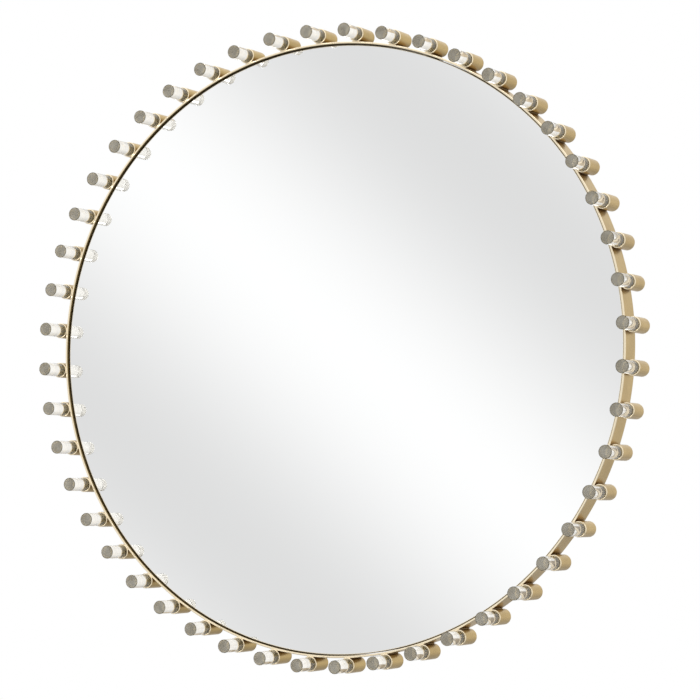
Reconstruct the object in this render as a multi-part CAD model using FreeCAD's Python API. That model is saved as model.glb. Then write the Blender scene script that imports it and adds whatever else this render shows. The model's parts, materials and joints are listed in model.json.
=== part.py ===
import FreeCAD, Part
import math
import os

from FreeCAD import Vector

# A round wall mirror: a flat hoop carries a ring of closed-back sleeves, and a clear rod stands in each.
# Millimetres. The wall is the plane y = 0, the mirror faces -Y, and +Z is up.
# Clock angles start at 12 o'clock and go clockwise as seen from the front.

# Hoop
HOOP_OUTER_DIAMETER = 870.0
HOOP_WALL = 3.0

# Rods and sleeves
PEGS_PER_QUADRANT = 12
ROD_DIAMETER = 19.0
ROD_PROUD = 42.0
ROD_CLEARANCE = 0.1
SLEEVE_WALL = 1.4
SLEEVE_FLOOR = 3.0
SADDLE_DEPTH = 0.4

# Mirror panel, from front to back
GLASS_SETBACK = 5.0
GLASS_THICKNESS = 5.0
TAPE_THICKNESS = 1.5
BOARD_THICKNESS = 9.0
BACK_RECESS = 19.5
PANEL_EDGE_CLEARANCE = 1.0

# Foam tape strips between glass and board
TAPE_COUNT = 5
TAPE_WIDTH = 25.0
TAPE_MARGIN = 40.0

# Angle brackets that hold the board in the hoop
BRACKET_COUNT = 8
BRACKET_THICKNESS = 2.0
BRACKET_WIDTH = 20.0
BRACKET_FOOT = 26.0
BRACKET_BEND = 1.0
BRACKET_EDGE_GAP = 4.0

# Pan-head wood screws
SCREW_SHANK_DIAMETER = 3.5
SCREW_HEAD_DIAMETER = 8.0
SCREW_HEAD_HEIGHT = 2.4
SCREW_HEAD_RIM = 0.6
SCREW_POINT = 2.5
SCREW_COVER = 2.0
SCREW_CLEARANCE = 0.05

# Strap hangers and their D-rings
HANGER_INSET = 144.0
HANGER_CLOCK = 45.0
STRAP_SHEET = 1.2
STRAP_WIDTH = 18.0
STRAP_SCREW_DROP = 13.0
STRAP_SCREW_PITCH = 28.0
RING_WIRE_DIAMETER = 4.0
RING_PLAY = 0.3
RING_SIDE_PLAY = 1.0
RING_CORNER = 5.0
RING_SIDE = 6.0
RING_REST_GAP = 0.3

# Rubber bumpers, one on the back of a sleeve in each quarter of the ring
BUMPER_HEIGHT = 2.0
BUMPER_DIAMETER = 12.0
BUMPER_FACE_DIAMETER = 10.0

# Directions, and how far a cutting tool runs past what it cuts
ORIGIN = Vector(0, 0, 0)
TO_RIGHT = Vector(1, 0, 0)
TO_WALL = Vector(0, 1, 0)
FULL_TURN = 360.0
DIAGONAL = math.sqrt(0.5)
OVERCUT = 1.0
QUADRANTS = ("upper_right", "lower_right", "lower_left", "upper_left")
SIDES = {"left": -1, "right": 1}

# Worked out: places along Y, from the wall to the front
HOOP_DEPTH = GLASS_SETBACK + GLASS_THICKNESS + TAPE_THICKNESS + BOARD_THICKNESS + BACK_RECESS
HOOP_BACK = -BUMPER_HEIGHT
HOOP_FRONT = HOOP_BACK - HOOP_DEPTH
GLASS_FRONT = HOOP_FRONT + GLASS_SETBACK
GLASS_BACK = GLASS_FRONT + GLASS_THICKNESS
BOARD_FRONT = GLASS_BACK + TAPE_THICKNESS
BOARD_BACK = BOARD_FRONT + BOARD_THICKNESS
STRAP_BACK = BOARD_BACK + 2 * STRAP_SHEET
SLEEVE_FLOOR_FRONT = HOOP_BACK - SLEEVE_FLOOR
ROD_FRONT = HOOP_FRONT - ROD_PROUD

# Worked out: radii and spacings
HOOP_OUTER = HOOP_OUTER_DIAMETER / 2
HOOP_INNER = HOOP_OUTER - HOOP_WALL
PANEL_RADIUS = HOOP_INNER - PANEL_EDGE_CLEARANCE
ROD_RADIUS = ROD_DIAMETER / 2
SLEEVE_BORE = ROD_RADIUS + ROD_CLEARANCE
SLEEVE_OUTER = SLEEVE_BORE + SLEEVE_WALL
PEG_CIRCLE = HOOP_OUTER + SLEEVE_OUTER - SADDLE_DEPTH
PEG_STEP = FULL_TURN / (PEGS_PER_QUADRANT * len(QUADRANTS))
BUMPER_PEG = PEGS_PER_QUADRANT // 2
TAPE_REACH = PANEL_RADIUS - TAPE_MARGIN
TAPE_PITCH = 2 * TAPE_REACH / (TAPE_COUNT + 1)
SCREW_HOLE = SCREW_SHANK_DIAMETER / 2 + SCREW_CLEARANCE
BRACKET_RISE = BACK_RECESS - BRACKET_EDGE_GAP
BRACKET_SCREW_CIRCLE = HOOP_INNER - BRACKET_FOOT / 2
BRACKET_STEP = FULL_TURN / BRACKET_COUNT
RING_WIRE = RING_WIRE_DIAMETER / 2
KNUCKLE_BORE = RING_WIRE + RING_PLAY
KNUCKLE_OUTER = KNUCKLE_BORE + STRAP_SHEET
PIVOT_Y = BOARD_BACK + KNUCKLE_OUTER
HANGER_CIRCLE = PANEL_RADIUS - HANGER_INSET
HANGER_X = HANGER_CIRCLE * math.sin(math.radians(HANGER_CLOCK))
HANGER_Z = HANGER_CIRCLE * math.cos(math.radians(HANGER_CLOCK))
RING_HALF = STRAP_WIDTH / 2 + RING_SIDE_PLAY + RING_CORNER
RING_HEIGHT = RING_CORNER + RING_SIDE + RING_HALF


def post(radius, front_y, back_y, x=0.0, z=0.0):
    """A cylinder square to the wall."""
    return Part.makeCylinder(radius, back_y - front_y, Vector(x, front_y, z), TO_WALL)


def at_clock(shape, degrees):
    """A copy of a shape made at 12 o'clock, carried round the mirror's centre."""
    copy = shape.copy()
    copy.rotate(ORIGIN, TO_WALL, degrees)
    return copy


def clock_point(radius, degrees):
    """The x and z of a place on a circle round the mirror's centre."""
    angle = math.radians(degrees)
    return radius * math.sin(angle), radius * math.cos(angle)


def bracket_angles():
    """Clock angles of the angle brackets, clear of the four main directions."""
    return [BRACKET_STEP * (index + 0.5) for index in range(BRACKET_COUNT)]


def strap_screw_places(side):
    """The x and z of the two screws of one strap hanger."""
    x = side * HANGER_X
    first = HANGER_Z - STRAP_SCREW_DROP
    return [(x, first), (x, first - STRAP_SCREW_PITCH)]


def export(name, solids):
    """Write one node, a single solid or a group of separate ones."""
    shape = solids[0] if len(solids) == 1 else Part.makeCompound(solids)
    shape.exportStep(os.path.join("parts", name + ".step"))


def make_hoop():
    """A flat bar rolled on edge."""
    bar = post(HOOP_OUTER, HOOP_FRONT, HOOP_BACK)
    return bar.cut(post(HOOP_INNER, HOOP_FRONT - OVERCUT, HOOP_BACK + OVERCUT))


def make_sleeve():
    """A closed-back cup with a saddle ground along one side, where it is brazed to the hoop."""
    cup = post(SLEEVE_OUTER, HOOP_FRONT, HOOP_BACK, z=PEG_CIRCLE)
    bore = post(SLEEVE_BORE, HOOP_FRONT - OVERCUT, SLEEVE_FLOOR_FRONT, z=PEG_CIRCLE)
    saddle = post(HOOP_OUTER, HOOP_FRONT - OVERCUT, HOOP_BACK + OVERCUT)
    return cup.cut(bore).cut(saddle)


def make_rod():
    """A clear rod that stands on the sleeve's floor."""
    return post(ROD_RADIUS, ROD_FRONT, SLEEVE_FLOOR_FRONT, z=PEG_CIRCLE)


def make_glass():
    """The silvered pane."""
    return post(PANEL_RADIUS, GLASS_FRONT, GLASS_BACK)


def make_tape_strips():
    """Upright strips that follow the panel's outline."""
    strips = []
    for index in range(TAPE_COUNT):
        x = (index - (TAPE_COUNT - 1) / 2) * TAPE_PITCH
        edge = abs(x) + TAPE_WIDTH / 2
        half_length = math.sqrt(TAPE_REACH ** 2 - edge ** 2)
        corner = Vector(x - TAPE_WIDTH / 2, GLASS_BACK, -half_length)
        strips.append(Part.makeBox(TAPE_WIDTH, TAPE_THICKNESS, 2 * half_length, corner))
    return strips


def make_board():
    """The backing board, with a pilot hole for every screw."""
    board = post(PANEL_RADIUS, BOARD_FRONT, BOARD_BACK)
    places = [clock_point(BRACKET_SCREW_CIRCLE, angle) for angle in bracket_angles()]
    for side in SIDES.values():
        places += strap_screw_places(side)
    pilot_end = BOARD_FRONT + SCREW_COVER
    return board.cut([post(SCREW_HOLE, pilot_end, BOARD_BACK + OVERCUT, x, z) for x, z in places])


def make_bracket():
    """A bent angle at 12 o'clock: its foot lies on the board, and its other leg on the hoop's inner face."""
    outer_bend = BRACKET_BEND + BRACKET_THICKNESS
    bend_z = HOOP_INNER - outer_bend
    bend_y = BOARD_BACK + outer_bend

    def bend_point(radius):
        return Vector(0, bend_y - radius * DIAGONAL, bend_z + radius * DIAGONAL)

    foot_start = Vector(0, BOARD_BACK, HOOP_INNER - BRACKET_FOOT)
    foot_bend = Vector(0, BOARD_BACK, bend_z)
    leg_bend = Vector(0, bend_y, HOOP_INNER)
    leg_end = Vector(0, BOARD_BACK + BRACKET_RISE, HOOP_INNER)
    leg_inner_end = Vector(0, BOARD_BACK + BRACKET_RISE, HOOP_INNER - BRACKET_THICKNESS)
    leg_inner_bend = Vector(0, bend_y, HOOP_INNER - BRACKET_THICKNESS)
    foot_inner_bend = Vector(0, BOARD_BACK + BRACKET_THICKNESS, bend_z)
    foot_inner_start = Vector(0, BOARD_BACK + BRACKET_THICKNESS, HOOP_INNER - BRACKET_FOOT)
    edges = [
        Part.makeLine(foot_start, foot_bend),
        Part.Arc(foot_bend, bend_point(outer_bend), leg_bend).toShape(),
        Part.makeLine(leg_bend, leg_end),
        Part.makeLine(leg_end, leg_inner_end),
        Part.makeLine(leg_inner_end, leg_inner_bend),
        Part.Arc(leg_inner_bend, bend_point(BRACKET_BEND), foot_inner_bend).toShape(),
        Part.makeLine(foot_inner_bend, foot_inner_start),
        Part.makeLine(foot_inner_start, foot_start),
    ]
    spread = math.degrees(BRACKET_WIDTH / HOOP_INNER)
    angle = at_clock(Part.Face(Part.Wire(edges)).revolve(ORIGIN, TO_WALL, spread), -spread / 2)
    hole_end = BOARD_BACK + BRACKET_THICKNESS + OVERCUT
    return angle.cut(post(SCREW_HOLE, BOARD_BACK - OVERCUT, hole_end, z=BRACKET_SCREW_CIRCLE))


def make_screw(seat_y, x, z):
    """A pan-head screw whose head sits at seat_y and whose point stays inside the board."""
    shank = SCREW_SHANK_DIAMETER / 2
    head = SCREW_HEAD_DIAMETER / 2
    tip_y = BOARD_FRONT + SCREW_COVER
    crown = SCREW_HEAD_HEIGHT - SCREW_HEAD_RIM
    sphere = (head ** 2 + crown ** 2) / (2 * crown)
    top_y = seat_y + SCREW_HEAD_HEIGHT
    shoulder_y = top_y - sphere + math.sqrt(sphere ** 2 - (head / 2) ** 2)
    corners = [
        Vector(0, top_y, 0),
        Vector(0, tip_y, 0),
        Vector(shank, tip_y + SCREW_POINT, 0),
        Vector(shank, seat_y, 0),
        Vector(head, seat_y, 0),
        Vector(head, seat_y + SCREW_HEAD_RIM, 0),
    ]
    outline = Part.makePolygon(corners).Edges
    outline.append(Part.Arc(corners[-1], Vector(head / 2, shoulder_y, 0), corners[0]).toShape())
    screw = Part.Face(Part.Wire(outline)).revolve(ORIGIN, TO_WALL, FULL_TURN)
    screw.translate(Vector(x, 0, z))
    return screw


def make_strap(side):
    """A strip folded double round the D-ring's bar, with a round lower end and two screw holes."""
    x = side * HANGER_X
    left = x - STRAP_WIDTH / 2
    places = strap_screw_places(side)
    end_z = places[-1][1]
    corner = Vector(left, BOARD_BACK, end_z)
    plate = Part.makeBox(STRAP_WIDTH, STRAP_BACK - BOARD_BACK, HANGER_Z - end_z, corner)
    end = post(STRAP_WIDTH / 2, BOARD_BACK, STRAP_BACK, x, end_z)
    pivot = Vector(left, PIVOT_Y, HANGER_Z)
    knuckle = Part.makeCylinder(KNUCKLE_OUTER, STRAP_WIDTH, pivot, TO_RIGHT)
    bore_start = pivot - TO_RIGHT * OVERCUT
    bore = Part.makeCylinder(KNUCKLE_BORE, STRAP_WIDTH + 2 * OVERCUT, bore_start, TO_RIGHT)
    holes = [post(SCREW_HOLE, BOARD_BACK - OVERCUT, STRAP_BACK + OVERCUT, *place) for place in places]
    return plate.fuse([end, knuckle]).cut([bore] + holes).removeSplitter()


def make_ring(side):
    """A D-ring of round wire, standing up on its bar and leaning back on the board."""
    def ring_point(across, up):
        return Vector(side * HANGER_X + across, PIVOT_Y, HANGER_Z + up)

    def line(start, end):
        return Part.makeLine(ring_point(*start), ring_point(*end))

    def arc(start, middle, end):
        return Part.Arc(ring_point(*start), ring_point(*middle), ring_point(*end)).toShape()

    inset = RING_CORNER * (1 - DIAGONAL)
    bar_end = RING_HALF - RING_CORNER
    side_top = RING_CORNER + RING_SIDE
    path = [
        line((-bar_end, 0), (bar_end, 0)),
        arc((bar_end, 0), (RING_HALF - inset, inset), (RING_HALF, RING_CORNER)),
        line((RING_HALF, RING_CORNER), (RING_HALF, side_top)),
        arc((RING_HALF, side_top), (0, RING_HEIGHT), (-RING_HALF, side_top)),
        line((-RING_HALF, side_top), (-RING_HALF, RING_CORNER)),
        arc((-RING_HALF, RING_CORNER), (inset - RING_HALF, inset), (-bar_end, 0)),
    ]
    section = Part.Wire(Part.makeCircle(RING_WIRE, ring_point(-bar_end, 0), TO_RIGHT))
    ring = Part.Wire(path).makePipe(Part.Face(section))
    lean = math.degrees(math.asin((KNUCKLE_OUTER - RING_WIRE - RING_REST_GAP) / RING_HEIGHT))
    ring.rotate(ring_point(0, 0), TO_RIGHT, lean)
    return ring


def make_bumper():
    """A tapered stick-on bumper on the back of the sleeve at 12 o'clock."""
    foot = Vector(0, HOOP_BACK, PEG_CIRCLE)
    return Part.makeCone(BUMPER_DIAMETER / 2, BUMPER_FACE_DIAMETER / 2, BUMPER_HEIGHT, foot, TO_WALL)


def export_pegs():
    """Sleeves and rods, each in one group per quarter of the ring."""
    sleeve = make_sleeve()
    rod = make_rod()
    for index, quadrant in enumerate(QUADRANTS):
        first = index * PEGS_PER_QUADRANT
        angles = [PEG_STEP * (first + step) for step in range(PEGS_PER_QUADRANT)]
        export("sleeves_" + quadrant, [at_clock(sleeve, angle) for angle in angles])
        export("rods_" + quadrant, [at_clock(rod, angle) for angle in angles])


def export_panel():
    """The glass, its tape and its board."""
    export("mirror_glass", [make_glass()])
    export("tape_strips", make_tape_strips())
    export("backing_board", [make_board()])


def export_brackets():
    """Each bracket, and all their screws."""
    bracket = make_bracket()
    foot_back = BOARD_BACK + BRACKET_THICKNESS
    screws = []
    for number, angle in enumerate(bracket_angles(), start=1):
        export("board_bracket_%d" % number, [at_clock(bracket, angle)])
        screws.append(make_screw(foot_back, *clock_point(BRACKET_SCREW_CIRCLE, angle)))
    export("bracket_screws", screws)


def export_hangers():
    """Each strap hanger with its ring, and all their screws."""
    screws = []
    for name, side in SIDES.items():
        export("hanger_strap_" + name, [make_strap(side)])
        export("d_ring_" + name, [make_ring(side)])
        screws += [make_screw(STRAP_BACK, x, z) for x, z in strap_screw_places(side)]
    export("hanger_screws", screws)


def export_bumpers():
    """One bumper on the middle sleeve of each quarter of the ring."""
    bumper = make_bumper()
    for index in range(len(QUADRANTS)):
        angle = PEG_STEP * (index * PEGS_PER_QUADRANT + BUMPER_PEG)
        export("wall_bumper_%d" % (index + 1), [at_clock(bumper, angle)])


os.makedirs("parts", exist_ok=True)
export("frame_hoop", [make_hoop()])
export_pegs()
export_panel()
export_brackets()
export_hangers()
export_bumpers()
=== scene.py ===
"""The looks of a round wall mirror: a brass hoop ringed by brass sleeves, each with a clear rod.

Metres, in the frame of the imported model: the wall is the plane y = 0, the mirror faces -Y, and +Z
is up. Clock angles start at 12 o'clock and go clockwise as seen from the front.
"""

import json
import math

import bmesh
import bpy
from mathutils import Matrix, Quaternion, Vector


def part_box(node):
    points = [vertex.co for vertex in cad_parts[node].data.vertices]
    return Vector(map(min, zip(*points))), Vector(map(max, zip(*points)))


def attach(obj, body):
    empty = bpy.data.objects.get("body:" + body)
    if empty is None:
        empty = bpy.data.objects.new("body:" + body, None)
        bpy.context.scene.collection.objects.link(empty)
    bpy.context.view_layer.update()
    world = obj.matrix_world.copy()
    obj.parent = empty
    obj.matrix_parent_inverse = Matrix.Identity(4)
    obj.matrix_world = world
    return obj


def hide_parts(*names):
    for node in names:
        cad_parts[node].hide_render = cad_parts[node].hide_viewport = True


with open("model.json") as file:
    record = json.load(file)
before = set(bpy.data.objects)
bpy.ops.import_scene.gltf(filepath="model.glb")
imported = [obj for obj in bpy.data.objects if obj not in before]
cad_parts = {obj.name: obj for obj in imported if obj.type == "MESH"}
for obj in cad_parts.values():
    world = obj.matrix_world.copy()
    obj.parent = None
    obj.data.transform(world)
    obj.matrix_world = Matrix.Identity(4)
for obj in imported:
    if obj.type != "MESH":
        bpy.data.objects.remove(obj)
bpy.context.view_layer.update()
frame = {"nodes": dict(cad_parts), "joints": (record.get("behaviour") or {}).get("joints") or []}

# Sizes read from the frame. The first sleeve and rod stand at 12 o'clock, so their left sides give
# the radii.
hoop_low, hoop_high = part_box("frame_hoop")
sleeve_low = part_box("sleeves_upper_right")[0]
rod_low, rod_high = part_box("rods_upper_right")
glass_low, glass_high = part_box("mirror_glass")
HOOP_OUTER = hoop_high.x
HOOP_FRONT = hoop_low.y
HOOP_BACK = hoop_high.y
SLEEVE_RADIUS = -sleeve_low.x
ROD_RADIUS = -rod_low.x
ROD_FRONT = rod_low.y
ROD_BACK = rod_high.y
PEG_CIRCLE = rod_high.z - ROD_RADIUS
GLASS_RADIUS = glass_high.x

# Sizes that repeat the part's source
HOOP_WALL = 0.003
ROD_CLEARANCE = 0.0001
SLEEVE_BORE = ROD_RADIUS + ROD_CLEARANCE
PEGS_PER_QUADRANT = 12
QUADRANTS = ("upper_right", "lower_right", "lower_left", "upper_left")
PEG_STEP = math.tau / (PEGS_PER_QUADRANT * len(QUADRANTS))
BRACKET_COUNT = 8
BUMPER_COUNT = 4
BRACKET_SCREW_CIRCLE = 0.419
STRAP_SCREW_DROPS = (0.013, 0.041)
SCREW_HEAD = 0.004
SCREW_HEAD_HEIGHT = 0.0024
SCREW_RIM = 0.0006
SCREW_SHANK = 0.00175
SCREW_POINT = 0.0025
RING_WIRE = 0.002
RING_HALF = 0.015
RING_CORNER = 0.005
RING_SIDE = 0.006
RING_HEIGHT = RING_CORNER + RING_SIDE + RING_HALF

# Softened edges and joints
HOOP_EDGE = 0.0008
SLEEVE_EDGE = 0.0005
ROD_EDGE = 0.0005
GLASS_EDGE = 0.0010
PLATE_EDGE = 0.0002
PLATE_EDGE_STEPS = 2
BRAZE_FILLET = 0.0005
BRAZE_GIRTH = 0.004
HAIRLINE = 0.00003
SAME_POINT = HAIRLINE / 10
SHARP_ANGLE = math.radians(40.0)

# Where one finish, or the brass's pale painted highlight, ends and the next begins
# How far back from the front the brass's pale painted highlight reaches
HIGHLIGHT_DEPTH = 0.0012
GROUND_EDGE = 0.0016
GLUE_DEPTH = 0.0010

# The screws' cross recess, and how far round each screw's driver stopped after the one before it
RECESS_HALF_WIDTH = 0.00045
RECESS_HALF_LENGTH = 0.0022
RECESS_DEPTH = 0.0015
RECESS_FLARE = 1.15
RECESS_TAPER = 0.45
DRIVER_TURN = 1.9

# Steps in the round of each shape
EDGE_STEPS = 4
INNER_SHADE_STEPS = EDGE_STEPS // 2
HOOP_STEPS = 384
PEG_STEPS = 48
BRAZE_STEPS = 4
SCREW_STEPS = 32
DOME_STEPS = 6
WIRE_STEPS = 16
RING_CORNER_STEPS = 8
RING_BOW_STEPS = 32
FLOOR_STEPS = 96

# Each piece's materials in the order of their slots
BRASS, BRASS_INSIDE = range(2)
CLEAR, SAWN, FACED, GLUED = range(4)
SILVER, GROUND, PAINT_AND_SHADE = range(3)

# Ranges that the materials share: a whole one, and the one that most of a noise's values fall in
WHOLE = (0.0, 1.0)
NOISE_SPAN = (0.3, 0.7)
ACRYLIC_IOR = 1.49

# The camera, fitted to the photograph without a shift, in an image of 700 x 700 pixels
VIEW_AZIMUTH = math.radians(24.5)
VIEW_ELEVATION = math.radians(-4.3)
VIEW_ROLL = math.radians(-2.6)
VIEW_DISTANCE = 3.95
VIEW_AIM = Vector((0.027, -0.043, -0.0045))
FOCAL_PIXELS = 2810.0
IMAGE_PIXELS = 700.0
SENSOR = 36.0

# The studio. A glow is a range of heights, from -1 straight down to 1 straight up, and the range of
# levels that goes with it. A softbox is a place, a size and a power.
LOW_GLOW = ((-0.75, -0.08), (0.25, 0.95))
HIGH_GLOW = ((0.30, 1.0), (0.0, 0.65))
REFRACTED_GLOW = ((0.25, 0.85), (1.0, 0.5))
PLAIN_LEVEL = 0.8
BAND_LEVELS = (0.795, 1.09)
BAND_PIXELS = 225.0
KEY_SOFTBOX = ((-1.6, -2.4, 2.6), 2.2, 45.0)
BACK_SOFTBOX = ((1.4, 2.6, 1.8), 2.0, 30.0)
FLOOR_HEIGHT = -1.35
FLOOR_RADIUS = 4.0
FLOOR_FADE = (0.45 * FLOOR_RADIUS, 0.98 * FLOOR_RADIUS)


def plug(tree, value, socket):
    """Links a socket to another, or sets its value."""
    if isinstance(value, bpy.types.NodeSocket):
        tree.links.new(value, socket)
    elif isinstance(value, tuple) and socket.type == "RGBA":
        socket.default_value = (*value, 1.0)
    else:
        socket.default_value = value


def add_node(tree, kind, inputs=(), **settings):
    """A node with its settings and inputs."""
    node = tree.nodes.new(kind)
    for name, value in settings.items():
        setattr(node, name, value)
    for name, value in dict(inputs).items():
        plug(tree, value, node.inputs[name])
    return node


def add_math(tree, operation, *values):
    """The result of one operation."""
    node = add_node(tree, "ShaderNodeMath", dict(enumerate(values)), operation=operation)
    return node.outputs[0]


def add_axes(tree, vector):
    """A vector's X, Y and Z."""
    return add_node(tree, "ShaderNodeSeparateXYZ", {0: vector}).outputs


def add_spread(tree, value, source, target, smooth=False):
    """A value carried from one range to another."""
    inputs = {"Value": value, 1: source[0], 2: source[1], 3: target[0], 4: target[1]}
    kind = "SMOOTHSTEP" if smooth else "LINEAR"
    return add_node(tree, "ShaderNodeMapRange", inputs, interpolation_type=kind).outputs[0]


class Shader:
    """A node material under construction."""

    def __init__(self, name, **values):
        self.material = bpy.data.materials.new(name)
        self.material.use_nodes = True
        self.tree = self.material.node_tree
        self.surface = self.tree.nodes["Principled BSDF"]
        for socket, value in values.items():
            self.set(socket.replace("_", " ").title().replace("Ior", "IOR"), value)

    def set(self, socket, value):
        """Sets or links one socket of the principled shader."""
        plug(self.tree, value, self.surface.inputs[socket])

    def add(self, kind, inputs=(), **settings):
        return add_node(self.tree, kind, inputs, **settings)

    def math(self, operation, *values):
        return add_math(self.tree, operation, *values)

    def axes(self, vector):
        return add_axes(self.tree, vector)

    def spread(self, value, source, target, smooth=False):
        return add_spread(self.tree, value, source, target, smooth)

    def place(self):
        """The point on the surface, in the frame's metres."""
        return self.add("ShaderNodeTexCoord").outputs["Object"]

    def turned(self):
        """The UVs of a turned piece: metres round it and metres along its outline."""
        return self.add("ShaderNodeUVMap", uv_map="Turned").outputs[0]

    def stretched(self, vector, scale):
        """A vector scaled differently along each axis."""
        inputs = {0: vector, 1: scale}
        return self.add("ShaderNodeVectorMath", inputs, operation="MULTIPLY").outputs[0]

    def length(self, vector):
        return self.add("ShaderNodeVectorMath", {0: vector}, operation="LENGTH").outputs["Value"]

    def noise(self, vector, scale, detail=2.0, roughness=0.5):
        inputs = {"Vector": vector, "Scale": scale, "Detail": detail, "Roughness": roughness}
        return self.add("ShaderNodeTexNoise", inputs).outputs["Fac"]

    def streaks(self, vector, scale, detail=3.0, roughness=0.5):
        """A noise drawn out along the axes of a small scale."""
        return self.noise(self.stretched(vector, scale), 1.0, detail, roughness)

    def blend(self, factor, first, second):
        """A mix of two colours."""
        mix = self.add("ShaderNodeMix", data_type="RGBA")
        sockets = (mix.inputs[0], mix.inputs[6], mix.inputs[7])
        for value, socket in zip((factor, first, second), sockets):
            plug(self.tree, value, socket)
        return mix.outputs[2]

    def mottle(self, pattern, first, second, roughness):
        """Colours the surface between two colours, and roughens it, by one pattern."""
        self.set("Base Color", self.blend(pattern, first, second))
        self.set("Roughness", self.spread(pattern, NOISE_SPAN, roughness))

    def bump(self, height, distance, strength=1.0):
        """A relief of that depth in metres."""
        inputs = {"Height": height, "Distance": distance, "Strength": strength}
        self.set("Normal", self.add("ShaderNodeBump", inputs).outputs[0])


def seam_on_hoop(shader, place):
    """How near a point of the hoop is to a brazed seam, from 0 to 1."""
    axes = shader.axes(place)
    angle = shader.math("ARCTAN2", axes["X"], axes["Z"])
    wave = shader.math("COSINE", shader.math("MULTIPLY", angle, math.tau / PEG_STEP))
    return shader.spread(wave, (0.2, 1.0), WHOLE, True)


def seam_on_sleeve(shader, place):
    """How near a point of a sleeve is to its brazed seam, from 0 to 1."""
    reach = shader.length(shader.stretched(place, (1.0, 0.0, 1.0)))
    return shader.spread(reach, (HOOP_OUTER + 0.8 * SLEEVE_RADIUS, HOOP_OUTER), WHOLE, True)


def satin_brass(name, seam):
    """Brushed brass plate, darkened by the seams with painted shade, and given a pale painted
    highlight with less roughness along its front edges.
    """
    shader = Shader(name, metallic=1.0)
    place = shader.place()
    depth = shader.axes(place)["Y"]
    highlight_span = (HOOP_FRONT + HIGHLIGHT_DEPTH, HOOP_FRONT + 0.6 * HIGHLIGHT_DEPTH)
    polish_and_highlight = shader.spread(depth, highlight_span, WHOLE, True)
    clouds = shader.noise(place, 26.0, 3.0)
    strokes = shader.streaks(shader.turned(), (50.0, 2400.0, 1.0), 4.0, 0.6)
    tarnish = shader.spread(clouds, (0.35, 0.68), WHOLE, True)
    plate = shader.blend(tarnish, (0.555, 0.388, 0.140), (0.475, 0.325, 0.110))
    bright = shader.spread(strokes, (0.3, 0.75), (0.0, 0.3))
    brushed = shader.blend(bright, plate, (0.72, 0.54, 0.25))
    # Painted shade: the brass is darkened towards the seams, where sleeves meet the hoop and shade
    # falls.
    seam_shade = shader.spread(seam(shader, place), WHOLE, (0.0, 0.75))
    seam_shaded = shader.blend(seam_shade, brushed, (0.17, 0.095, 0.022))
    # Painted highlight: the front edges are coloured pale cream, and made smoother.
    shader.set("Base Color", shader.blend(polish_and_highlight, seam_shaded, (0.96, 0.835, 0.615)))
    rough = shader.spread(strokes, (0.25, 0.75), (0.24, 0.36))
    shader.set("Roughness", shader.math("MULTIPLY_ADD", polish_and_highlight, -0.14, rough))
    shader.bump(strokes, 0.00003, 0.6)
    return shader.material


def inner_face_shade():
    """The hoop's inner face, coloured dark brown as painted shade for the gap beside the glass."""
    shader = Shader("inner_face_shade", metallic=1.0)
    place = shader.place()
    clouds = shader.noise(place, 60.0, 4.0)
    shader.mottle(clouds, (0.37, 0.27, 0.105), (0.26, 0.185, 0.068), (0.38, 0.55))
    shader.bump(shader.noise(place, 3000.0), 0.00002)
    return shader.material


def raw_bore():
    """The drawn inside of a sleeve, dull olive with oxide and streaked along its length."""
    shader = Shader("raw_bore", metallic=0.15, specular_ior_level=0.2)
    streaks = shader.streaks(shader.turned(), (2500.0, 60.0, 1.0))
    shader.mottle(streaks, (0.66, 0.50, 0.17), (0.53, 0.40, 0.12), (0.40, 0.58))
    shader.bump(streaks, 0.00003)
    return shader.material


def clear_acrylic():
    """Polished clear rod, with faint handling haze."""
    clear = (0.985, 0.96, 0.90)
    shader = Shader("clear_acrylic", base_color=clear, transmission_weight=1.0, ior=ACRYLIC_IOR)
    haze = shader.noise(shader.place(), 90.0, 5.0, 0.65)
    shader.set("Roughness", shader.spread(haze, (0.45, 0.8), (0.0, 0.06)))
    return shader.material


def sawn_acrylic():
    """The rod's hidden end, left rough by the saw and dark with glue."""
    shader = Shader("sawn_acrylic", specular_ior_level=0.3)
    marks = shader.streaks(shader.place(), (300.0, 300.0, 4000.0))
    shader.mottle(marks, (0.20, 0.16, 0.10), (0.15, 0.12, 0.07), (0.6, 0.85))
    return shader.material


def faced_acrylic():
    """The rod's front end, faced on a lathe and left lightly satin, so the depth below is grey."""
    shader = Shader("faced_acrylic", transmission_weight=0.70, ior=ACRYLIC_IOR)
    turned = shader.turned()
    rings = shader.streaks(turned, (4.0, 5000.0, 1.0))
    cloud = shader.spread(shader.noise(shader.place(), 75.0), (0.38, 0.62), WHOLE)
    rim_shade = shader.spread(shader.axes(turned)["Y"], (0.7 * ROD_RADIUS, ROD_RADIUS), WHOLE, True)
    middle = shader.blend(cloud, (0.77, 0.70, 0.55), (0.98, 0.92, 0.77))
    # Painted shade: the end face is coloured darker towards its rim.
    shader.set("Base Color", shader.blend(rim_shade, middle, (0.74, 0.68, 0.53)))
    shader.set("Roughness", shader.spread(rings, NOISE_SPAN, (0.02, 0.09)))
    shader.bump(rings, 0.000004)
    return shader.material


def glued_acrylic():
    """The rod's wall inside its sleeve, wetted by glue that takes up the colour of the brass."""
    shader = Shader("glued_acrylic", specular_ior_level=0.1)
    streaks = shader.streaks(shader.turned(), (500.0, 60.0, 1.0))
    shader.mottle(streaks, (0.66, 0.57, 0.35), (0.52, 0.44, 0.26), (0.5, 0.7))
    return shader.material


def silvered_glass():
    """The mirror's face, clean but for a trace of wiping."""
    shader = Shader("silvered_glass", base_color=(0.965, 0.97, 0.97), metallic=1.0)
    wiping = shader.streaks(shader.place(), (6.0, 1.0, 2.5), 5.0, 0.6)
    shader.set("Roughness", shader.spread(wiping, (0.5, 0.8), (0.0, 0.02)))
    return shader.material


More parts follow.
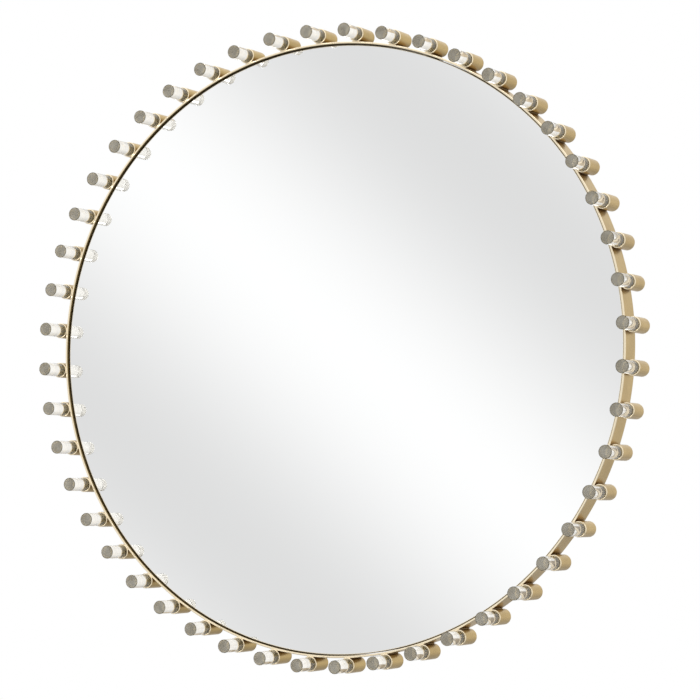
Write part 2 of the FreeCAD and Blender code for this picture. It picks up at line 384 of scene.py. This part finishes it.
def ground_glass():
    """The pane's ground edge, coloured warm cream as a painted reflection of the brass beside it.
    """
    shader = Shader("ground_glass")
    grain = shader.noise(shader.place(), 2500.0)
    shader.mottle(grain, (0.93, 0.82, 0.62), (0.98, 0.88, 0.70), (0.3, 0.5))
    return shader.material


def back_paint_and_side_shade():
    """The paint on the pane's back, and painted shade in the same colour round its side to the
    front corner.
    """
    shader = Shader("back_paint_and_side_shade", specular_ior_level=0.3)
    cloud = shader.noise(shader.place(), 400.0, 3.0)
    shader.mottle(cloud, (0.24, 0.20, 0.125), (0.19, 0.155, 0.095), (0.45, 0.65))
    return shader.material


def painted_board():
    """Black-painted fibreboard: rolled paint over fine fibres, with scuffs worn to brown."""
    shader = Shader("painted_board", specular_ior_level=0.35)
    place = shader.place()
    fibres = shader.noise(shader.stretched(place, (1.0, 1.0, 0.35)), 900.0, 4.0, 0.6)
    rolled = shader.streaks(place, (14.0, 14.0, 1.6), 5.0, 0.6)
    scuffs = shader.noise(shader.stretched(place, (1.0, 1.0, 3.0)), 24.0, 8.0, 0.72)
    coat = shader.spread(rolled, (0.35, 0.65), WHOLE)
    paint = shader.blend(coat, (0.015, 0.015, 0.015), (0.036, 0.035, 0.033))
    worn = shader.spread(scuffs, (0.60, 0.72), (0.0, 0.6), True)
    shader.set("Base Color", shader.blend(worn, paint, (0.12, 0.09, 0.06)))
    matt = shader.spread(fibres, NOISE_SPAN, (0.0, 0.16))
    rough = shader.math("MULTIPLY_ADD", rolled, 0.5, matt)
    shader.set("Roughness", shader.spread(rough, (0.1, 0.5), (0.42, 0.75)))
    shader.bump(fibres, 0.00012, 0.7)
    return shader.material


def zinc_plate():
    """Zinc-plated strip with a faint passivation tint."""
    shader = Shader("zinc_plate", metallic=1.0)
    place = shader.place()
    tint = shader.spread(shader.noise(place, 70.0, 3.0), (0.35, 0.65), WHOLE)
    rolling = shader.streaks(place, (300.0, 300.0, 2500.0))
    shader.set("Base Color", shader.blend(tint, (0.56, 0.59, 0.63), (0.64, 0.61, 0.52)))
    shader.set("Roughness", shader.spread(rolling, NOISE_SPAN, (0.28, 0.46)))
    shader.bump(rolling, 0.00003, 0.6)
    return shader.material


def screw_plate():
    """Yellow-tinted plating on the screws."""
    shader = Shader("screw_plate", metallic=1.0)
    place = shader.place()
    tint = shader.noise(place, 500.0, 3.0)
    shader.mottle(tint, (0.66, 0.60, 0.46), (0.52, 0.50, 0.47), (0.22, 0.40))
    shader.bump(shader.noise(place, 4000.0), 0.00002)
    return shader.material


def nickel_wire():
    """Drawn and nickel-plated wire."""
    shader = Shader("nickel_wire", metallic=1.0)
    draw_lines = shader.streaks(shader.turned(), (40.0, 3000.0, 1.0))
    clouds = shader.noise(shader.place(), 160.0, 3.0)
    shader.set("Base Color", shader.blend(clouds, (0.70, 0.67, 0.62), (0.60, 0.58, 0.55)))
    shader.set("Roughness", shader.spread(draw_lines, NOISE_SPAN, (0.16, 0.30)))
    shader.bump(draw_lines, 0.00002, 0.5)
    return shader.material


def bumper_rubber():
    """Soft clear rubber, hazy and a little dusty."""
    soft = {"subsurface_weight": 0.4, "subsurface_scale": 0.002}
    shader = Shader("bumper_rubber", specular_ior_level=0.4, **soft)
    dust = shader.noise(shader.place(), 700.0, 4.0)
    shader.mottle(dust, (0.60, 0.60, 0.57), (0.72, 0.72, 0.69), (0.35, 0.6))
    return shader.material


def foam_tape():
    """Closed-cell foam strip."""
    shader = Shader("foam_tape", specular_ior_level=0.2)
    cells = shader.noise(shader.place(), 1800.0)
    shader.mottle(cells, (0.62, 0.62, 0.59), (0.78, 0.78, 0.75), (0.7, 0.9))
    shader.bump(cells, 0.0002)
    return shader.material


def rounded(corners):
    """The outline through corners of (radius, y, fillet), with an arc at each filleted corner."""
    outline = []
    for index, (radius, y, fillet) in enumerate(corners):
        corner = Vector((radius, y))
        if not fillet:
            outline.append(corner)
            continue
        back = (Vector(corners[index - 1][:2]) - corner).normalized()
        on = (Vector(corners[(index + 1) % len(corners)][:2]) - corner).normalized()
        half = back.angle(on) / 2
        centre = corner + (back + on).normalized() * (fillet / math.sin(half))
        first = corner + back * (fillet / math.tan(half)) - centre
        last = corner + on * (fillet / math.tan(half)) - centre
        sweep = -first.angle_signed(last)
        for step in range(EDGE_STEPS + 1):
            outline.append(centre + Matrix.Rotation(sweep * step / EDGE_STEPS, 2) @ first)
    return outline


def clock_place(radius, angle, y):
    """A point on a circle round the mirror's centre."""
    return Vector((radius * math.sin(angle), y, radius * math.cos(angle)))


def add_strip(mesh, first, second, along, around, material=0):
    """Faces between two closed rows of vertices, with UVs in metres. A row of one is a pole."""
    layer = mesh.loops.layers.uv.get("Turned") or mesh.loops.layers.uv.new("Turned")
    start, end = along
    steps = max(len(first), len(second))
    for step in range(steps):
        corners = {}
        for row, v, offsets in ((first, start, (0, 1)), (second, end, (1, 0))):
            for offset in offsets:
                vertex = row[(step + offset) % len(row)]
                corners.setdefault(vertex, (around * (step + offset) / steps, v))
        face = mesh.faces.new(corners)
        face.material_index = material
        for loop in face.loops:
            loop[layer].uv = corners[loop.vert]


def turn(mesh, outline, steps, axis=(0.0, 0.0), material=0):
    """Turns an outline of (radius, y) points about an axis square to the wall."""
    centre = Vector((axis[0], 0.0, axis[1]))
    rows = []
    for radius, y in outline:
        count = steps if radius > HAIRLINE else 1
        angles = [math.tau * step / steps for step in range(count)]
        rows.append([mesh.verts.new(centre + clock_place(radius, angle, y)) for angle in angles])
    around = math.tau * max(point[0] for point in outline)
    travelled = 0.0
    for index in range(len(outline) - 1):
        reached = travelled + (outline[index + 1] - outline[index]).length
        add_strip(mesh, rows[index], rows[index + 1], (travelled, reached), around, material)
        travelled = reached


def finish_mesh(name, mesh):
    """Joins the strips of a draft, points its faces outwards and makes it a mesh."""
    bmesh.ops.remove_doubles(mesh, verts=mesh.verts, dist=SAME_POINT)
    bmesh.ops.recalc_face_normals(mesh, faces=mesh.faces)
    for face in mesh.faces:
        face.smooth = True
    data = bpy.data.meshes.new(name)
    mesh.to_mesh(data)
    mesh.free()
    data.set_sharp_from_angle(angle=SHARP_ANGLE)
    return data


def even_shading(thing):
    """Keeps flat faces flat beside their eased edges."""
    evener = thing.modifiers.new("even_shading", "WEIGHTED_NORMAL")
    evener.keep_sharp = True


def add_piece(name, data, materials, nodes, body="mirror"):
    """A finished piece that stands for CAD nodes and rides on a body."""
    for material in materials:
        data.materials.append(material)
    piece = bpy.data.objects.new(name, data)
    bpy.context.scene.collection.objects.link(piece)
    even_shading(piece)
    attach(piece, body)
    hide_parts(*nodes)


def repeated(name, template, matrices):
    """One mesh of several copies of a template."""
    mesh = bmesh.new()
    for matrix in matrices:
        copy = template.copy()
        copy.transform(matrix)
        mesh.from_mesh(copy)
        bpy.data.meshes.remove(copy)
    data = bpy.data.meshes.new(name)
    mesh.to_mesh(data)
    mesh.free()
    return data


def add_hoop(brass, inner_shade):
    """The rolled bar with eased edges. The painted shade inside it comes half round the front
    corner.
    """
    inner = HOOP_OUTER - HOOP_WALL
    outline = rounded([
        (inner, HOOP_FRONT, HOOP_EDGE),
        (HOOP_OUTER, HOOP_FRONT, HOOP_EDGE),
        (HOOP_OUTER, HOOP_FRONT + HIGHLIGHT_DEPTH, 0.0),
        (HOOP_OUTER, HOOP_BACK, HOOP_EDGE),
        (inner, HOOP_BACK, HOOP_EDGE),
    ])
    inner_face = outline[-1:] + outline[:INNER_SHADE_STEPS + 1]
    mesh = bmesh.new()
    turn(mesh, outline[INNER_SHADE_STEPS:], HOOP_STEPS, material=BRASS)
    turn(mesh, inner_face, HOOP_STEPS, material=BRASS_INSIDE)
    data = finish_mesh("hoop_bar", mesh)
    add_piece("hoop_bar", data, [brass, inner_shade], ["frame_hoop"])


def add_braze(mesh, side):
    """The fillet of filler metal along one side of a sleeve's seam with the hoop, at 12 o'clock."""
    hoop_reach = HOOP_OUTER + BRAZE_FILLET
    sleeve_reach = SLEEVE_RADIUS + BRAZE_FILLET
    height = (hoop_reach**2 - sleeve_reach**2 + PEG_CIRCLE**2) / (2 * PEG_CIRCLE)
    middle = Vector((side * math.sqrt(hoop_reach**2 - height**2), height))
    peg = Vector((0.0, PEG_CIRCLE))
    start = middle * (HOOP_OUTER / hoop_reach) - middle
    end = peg + (middle - peg) * (SLEEVE_RADIUS / sleeve_reach) - middle
    sweep = -start.angle_signed(end)
    turns = [Matrix.Rotation(sweep * step / BRAZE_STEPS, 2) for step in range(BRAZE_STEPS + 1)]
    section = [middle + rotation @ start for rotation in turns]
    section.append(Vector((side * HAIRLINE, HOOP_OUTER)))
    ends = (HOOP_FRONT + HOOP_EDGE, HOOP_BACK - HOOP_EDGE)
    rows = [[mesh.verts.new((point.x, y, point.y)) for point in section] for y in ends]
    add_strip(mesh, rows[0], rows[1], ends, BRAZE_GIRTH)
    for row in rows:
        mesh.faces.new(row)


def sleeve_template():
    """A closed-back cup at 12 o'clock, with eased edges, a drawn bore and its braze."""
    mesh = bmesh.new()
    axis = (0.0, PEG_CIRCLE)
    highlight_end = HOOP_FRONT + HIGHLIGHT_DEPTH
    outside = rounded([
        (0.0, HOOP_BACK, 0.0),
        (SLEEVE_RADIUS, HOOP_BACK, SLEEVE_EDGE),
        (SLEEVE_RADIUS, highlight_end, 0.0),
        (SLEEVE_RADIUS, HOOP_FRONT, SLEEVE_EDGE),
        (SLEEVE_BORE, HOOP_FRONT, SLEEVE_EDGE),
        (SLEEVE_BORE, highlight_end, 0.0),
    ])
    inside = rounded([
        (SLEEVE_BORE, highlight_end, 0.0),
        (SLEEVE_BORE, ROD_BACK, 0.0),
        (0.0, ROD_BACK, 0.0),
    ])
    turn(mesh, outside, PEG_STEPS, axis, BRASS)
    turn(mesh, inside, PEG_STEPS, axis, BRASS_INSIDE)
    for side in (-1, 1):
        add_braze(mesh, side)
    return finish_mesh("sleeve", mesh)


def rod_template():
    """A clear rod at 12 o'clock with an eased tip, a wall glued into the sleeve and a sawn back."""
    mesh = bmesh.new()
    axis = (0.0, PEG_CIRCLE)
    mouth = HOOP_FRONT + GLUE_DEPTH
    back = ROD_BACK - HAIRLINE
    free = rounded([
        (0.0, ROD_FRONT, 0.0),
        (ROD_RADIUS, ROD_FRONT, ROD_EDGE),
        (ROD_RADIUS, mouth, 0.0),
    ])
    glued = rounded([(ROD_RADIUS, mouth, 0.0), (ROD_RADIUS, back, 0.0)])
    sawn = rounded([(ROD_RADIUS, back, 0.0), (0.0, back, 0.0)])
    turn(mesh, free[:2], PEG_STEPS, axis, FACED)
    turn(mesh, free[1:], PEG_STEPS, axis, CLEAR)
    turn(mesh, glued, PEG_STEPS, axis, GLUED)
    turn(mesh, sawn, PEG_STEPS, axis, SAWN)
    return finish_mesh("rod", mesh)


def add_pegs(sleeve_materials, rod_materials):
    """The ring of sleeves and rods, in quarters."""
    sleeve = sleeve_template()
    rod = rod_template()
    for index, quadrant in enumerate(QUADRANTS):
        first = index * PEGS_PER_QUADRANT
        pegs = range(first, first + PEGS_PER_QUADRANT)
        turns = [Matrix.Rotation(PEG_STEP * peg, 4, "Y") for peg in pegs]
        name = "sleeve_set_" + quadrant
        data = repeated(name, sleeve, turns)
        add_piece(name, data, sleeve_materials, ["sleeves_" + quadrant])
        name = "rod_set_" + quadrant
        data = repeated(name, rod, turns)
        add_piece(name, data, rod_materials, ["rods_" + quadrant])


def add_mirror(materials):
    """The pane, silvered to its ground edge, which carries a painted reflection of the brass; its
    back is painted and its side carries painted shade.
    """
    front, back = glass_low.y, glass_high.y
    mesh = bmesh.new()
    edge = rounded([
        (GLASS_RADIUS - GROUND_EDGE, front, 0.0),
        (GLASS_RADIUS, front, GLASS_EDGE),
        (GLASS_RADIUS, back, GLASS_EDGE),
        (0.0, back, 0.0),
    ])
    turn(mesh, [Vector((0.0, front)), edge[0]], HOOP_STEPS, material=SILVER)
    turn(mesh, edge[:2], HOOP_STEPS, material=GROUND)
    turn(mesh, edge[1:], HOOP_STEPS, material=PAINT_AND_SHADE)
    data = finish_mesh("mirror_pane", mesh)
    add_piece("mirror_pane", data, materials, ["mirror_glass"])


def cross_cutter(top):
    """A tapered cross that cuts a screw's recess, pointing down from the head's top."""
    wide, long = RECESS_HALF_WIDTH, RECESS_HALF_LENGTH
    arm = [Vector((wide, long)), Vector((wide, wide)), Vector((long, wide))]
    quarters = [Matrix.Rotation(-math.pi / 2 * quarter, 2) for quarter in range(4)]
    outline = [rotation @ point for rotation in quarters for point in arm]
    mesh = bmesh.new()
    rows = []
    for y, size in ((top + SCREW_RIM, RECESS_FLARE), (top - RECESS_DEPTH, RECESS_TAPER)):
        rows.append([mesh.verts.new((point.x * size, y, point.y * size)) for point in outline])
    add_strip(mesh, rows[0], rows[1], (0.0, RECESS_DEPTH), RECESS_HALF_LENGTH)
    for row in rows:
        mesh.faces.new(row)
    return finish_mesh("cross_cutter", mesh)


def screw_template(top, tip):
    """A pan-head screw on the Y axis, with its head towards the wall and a cross recess."""
    seat = top - SCREW_HEAD_HEIGHT
    crown = SCREW_HEAD_HEIGHT - SCREW_RIM
    sphere = (SCREW_HEAD**2 + crown**2) / (2 * crown)
    widest = math.asin(SCREW_HEAD / sphere)
    outline = []
    for step in range(DOME_STEPS + 1):
        arc = widest * step / DOME_STEPS
        outline.append(Vector((sphere * math.sin(arc), top - sphere * (1 - math.cos(arc)))))
    outline += [
        Vector((SCREW_HEAD, seat)),
        Vector((SCREW_SHANK, seat)),
        Vector((SCREW_SHANK, tip + SCREW_POINT)),
        Vector((0.0, tip)),
    ]
    mesh = bmesh.new()
    turn(mesh, outline, SCREW_STEPS)
    screw = bpy.data.objects.new("screw", finish_mesh("screw", mesh))
    cutter = bpy.data.objects.new("cutter", cross_cutter(top))
    for thing in (screw, cutter):
        bpy.context.scene.collection.objects.link(thing)
    cut = screw.modifiers.new("recess", "BOOLEAN")
    cut.object = cutter
    cut.solver = "EXACT"
    bpy.context.view_layer.update()
    made = bmesh.new()
    made.from_object(screw, bpy.context.evaluated_depsgraph_get())
    for thing in (screw, cutter):
        bpy.data.objects.remove(thing)
    bmesh.ops.dissolve_degenerate(made, dist=SAME_POINT, edges=made.edges)
    return finish_mesh("screw_cut", made)


def add_screws(name, node, places, plating):
    """A set of screws, each turned to where its driver left it."""
    low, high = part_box(node)
    template = screw_template(high.y, low.y)
    matrices = []
    for index, (x, z) in enumerate(places):
        turned = Matrix.Rotation(DRIVER_TURN * index, 4, "Y")
        matrices.append(Matrix.Translation((x, 0.0, z)) @ turned)
    data = repeated(name, template, matrices)
    add_piece(name, data, [plating], [node])


def hinge_pivot(side):
    """Where a D-ring's bar turns in its strap."""
    joint = next(joint for joint in frame["joints"] if joint["name"] == side + "_ring_swing")
    return Vector(joint["pos_m"])


def ring_path():
    """The D-ring's centre line, from its bar's right end round to the left end.

    Each entry is an (across, up) point and the direction that leads out of the ring there.
    """
    bar = RING_HALF - RING_CORNER
    shoulder = RING_CORNER + RING_SIDE
    right, left = Vector((bar, RING_CORNER)), Vector((-bar, RING_CORNER))
    arcs = [
        (right, RING_CORNER, -math.pi / 2, 0.0, RING_CORNER_STEPS),
        (Vector((0.0, shoulder)), RING_HALF, 0.0, math.pi, RING_BOW_STEPS),
        (left, RING_CORNER, math.pi, 1.5 * math.pi, RING_CORNER_STEPS),
    ]
    path = []
    for centre, radius, start, end, count in arcs:
        for step in range(count + 1):
            angle = start + (end - start) * step / count
            outward = Vector((math.cos(angle), math.sin(angle)))
            path.append((centre + outward * radius, outward))
    return path


def add_ring(side, nickel):
    """A D-ring of round wire, leaning back on the board as its node does."""
    node = "d_ring_" + side
    pivot = hinge_pivot(side)
    lean = math.asin((pivot.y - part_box(node)[0].y - RING_WIRE) / RING_HEIGHT)
    stand = Matrix.Translation(pivot) @ Matrix.Rotation(lean, 4, "X")
    mesh = bmesh.new()
    rows = []
    for point, outward in ring_path():
        row = []
        for step in range(WIRE_STEPS):
            angle = math.tau * step / WIRE_STEPS
            across = point + outward * (RING_WIRE * math.cos(angle))
            on_wire = Vector((across.x, RING_WIRE * math.sin(angle), across.y))
            row.append(mesh.verts.new(stand @ on_wire))
        rows.append(row)
    travelled = 0.0
    for row, following in zip(rows, rows[1:] + rows[:1]):
        reached = travelled + (following[0].co - row[0].co).length
        add_strip(mesh, row, following, (travelled, reached), math.tau * RING_WIRE)
        travelled = reached
    name = "ring_wire_" + side
    data = finish_mesh(name, mesh)
    add_piece(name, data, [nickel], [node], side + "_ring")


def dress_node(name, material, ease=0.0):
    """Gives a CAD node its material, and eases its cut edges by that width."""
    node = frame["nodes"][name]
    for slot in node.material_slots:
        slot.material = material
    if ease:
        weld = node.modifiers.new("joined_faces", "WELD")
        weld.merge_threshold = SAME_POINT
        bevel = node.modifiers.new("eased_edges", "BEVEL")
        bevel.width = ease
        bevel.segments = PLATE_EDGE_STEPS
        bevel.limit_method = "ANGLE"
        even_shading(node)


def add_back(board, zinc, screw, nickel, rubber, foam):
    """Everything behind the glass."""
    dress_node("backing_board", board)
    dress_node("tape_strips", foam)
    for number in range(1, BRACKET_COUNT + 1):
        dress_node("board_bracket_%d" % number, zinc, PLATE_EDGE)
    for number in range(1, BUMPER_COUNT + 1):
        dress_node("wall_bumper_%d" % number, rubber)
    hanger_places = []
    for side in ("left", "right"):
        dress_node("hanger_strap_" + side, zinc, PLATE_EDGE)
        add_ring(side, nickel)
        pivot = hinge_pivot(side)
        hanger_places += [(pivot.x, pivot.z - drop) for drop in STRAP_SCREW_DROPS]
    bracket_places = []
    for index in range(BRACKET_COUNT):
        angle = math.tau * (index + 0.5) / BRACKET_COUNT
        place = clock_place(BRACKET_SCREW_CIRCLE, angle, 0.0)
        bracket_places.append((place.x, place.z))
    add_screws("bracket_screw_set", "bracket_screws", bracket_places, screw)
    add_screws("hanger_screw_set", "hanger_screws", hanger_places, screw)


def view_axes():
    """The camera's backward, right and up directions, before it is rolled."""
    flat = math.cos(VIEW_ELEVATION)
    across, out = math.sin(VIEW_AZIMUTH) * flat, math.cos(VIEW_AZIMUTH) * flat
    back = Vector((across, -out, math.sin(VIEW_ELEVATION)))
    right = Vector((0.0, 0.0, 1.0)).cross(back).normalized()
    return back, right, back.cross(right)


def add_camera():
    """The photograph's viewing angle."""
    back = view_axes()[0]
    data = bpy.data.cameras.new("camera")
    data.sensor_width = SENSOR
    data.lens = FOCAL_PIXELS * SENSOR / IMAGE_PIXELS
    camera = bpy.data.objects.new("camera", data)
    camera.location = VIEW_AIM + back * VIEW_DISTANCE
    camera.rotation_mode = "QUATERNION"
    roll = Quaternion((0.0, 0.0, 1.0), VIEW_ROLL)
    camera.rotation_quaternion = (-back).to_track_quat("-Z", "Y") @ roll
    bpy.context.scene.collection.objects.link(camera)
    bpy.context.scene.camera = camera


def add_world():
    """A white studio with soft slanting bands of light, which the mirror and the metal reflect."""
    world = bpy.data.worlds.new("studio")
    world.use_nodes = True
    bpy.context.scene.world = world
    tree = world.node_tree

    def math_node(operation, *values):
        return add_math(tree, operation, *values)

    def mixed(factor, first, second):
        return math_node("MULTIPLY_ADD", factor, math_node("SUBTRACT", second, first), first)

    heading = add_node(tree, "ShaderNodeTexCoord").outputs["Generated"]
    height = add_axes(tree, heading)["Z"]
    below = add_spread(tree, height, *LOW_GLOW)
    above = add_spread(tree, height, *HIGH_GLOW)
    glow = math_node("ADD", below, above)

    right, up = view_axes()[1:]
    slant = (right + up).normalized()
    slant.y = -slant.y
    inputs = {0: heading, 1: slant}
    dot = add_node(tree, "ShaderNodeVectorMath", inputs, operation="DOT_PRODUCT")
    turns = math_node("MULTIPLY", dot.outputs["Value"], math.pi * FOCAL_PIXELS / BAND_PIXELS)
    bands = add_spread(tree, math_node("COSINE", turns), (-1.0, 1.0), BAND_LEVELS)

    ray = add_node(tree, "ShaderNodeLightPath").outputs
    level = mixed(ray["Is Glossy Ray"], PLAIN_LEVEL, bands)
    lit = math_node("MULTIPLY", glow, level)
    through = add_spread(tree, math_node("ABSOLUTE", height), *REFRACTED_GLOW)
    refracted = mixed(ray["Is Transmission Ray"], lit, through)
    background = tree.nodes["Background"]
    background.inputs["Color"].default_value = (1.0, 1.0, 1.0, 1.0)
    plug(tree, mixed(ray["Is Camera Ray"], refracted, 1.0), background.inputs["Strength"])


def add_softbox(name, place, size, power):
    """A soft lamp that faces the mirror and stays out of its reflections."""
    data = bpy.data.lights.new(name, "AREA")
    data.size = size
    data.energy = power
    lamp = bpy.data.objects.new(name, data)
    lamp.location = place
    lamp.rotation_mode = "QUATERNION"
    lamp.rotation_quaternion = (-Vector(place)).to_track_quat("-Z", "Y")
    lamp.visible_glossy = False
    bpy.context.scene.collection.objects.link(lamp)


def add_floor():
    """A pale floor under the mirror, which fades into the white round it."""
    shader = Shader("pale_floor", specular_ior_level=0.2)
    place = shader.place()
    grain = shader.noise(place, 14.0, 4.0)
    shader.mottle(grain, (0.86, 0.86, 0.855), (0.90, 0.90, 0.895), (0.6, 0.8))
    reach = shader.length(shader.stretched(place, (1.0, 1.0, 0.0)))
    shader.set("Alpha", shader.spread(reach, FLOOR_FADE, (1.0, 0.0), True))
    mesh = bmesh.new()
    bmesh.ops.create_circle(mesh, cap_ends=True, segments=FLOOR_STEPS, radius=FLOOR_RADIUS)
    data = bpy.data.meshes.new("floor")
    mesh.to_mesh(data)
    mesh.free()
    data.materials.append(shader.material)
    floor = bpy.data.objects.new("floor", data)
    floor.location.z = FLOOR_HEIGHT
    floor.visible_glossy = False
    bpy.context.scene.collection.objects.link(floor)


def allow_bounces():
    """Enough light bounces to follow the light down a rod to its sawn end and back."""
    paths = bpy.context.scene.cycles
    paths.max_bounces = 24
    paths.glossy_bounces = 16
    paths.transmission_bounces = 16


bpy.context.scene.view_settings.view_transform = "Standard"
add_hoop(satin_brass("hoop_brass", seam_on_hoop), inner_face_shade())
add_pegs(
    [satin_brass("sleeve_brass", seam_on_sleeve), raw_bore()],
    [clear_acrylic(), sawn_acrylic(), faced_acrylic(), glued_acrylic()],
)
add_mirror([silvered_glass(), ground_glass(), back_paint_and_side_shade()])
add_back(painted_board(), zinc_plate(), screw_plate(), nickel_wire(), bumper_rubber(), foam_tape())
add_camera()
add_world()
add_softbox("key_light", *KEY_SOFTBOX)
add_softbox("back_light", *BACK_SOFTBOX)
add_floor()
allow_bounces()
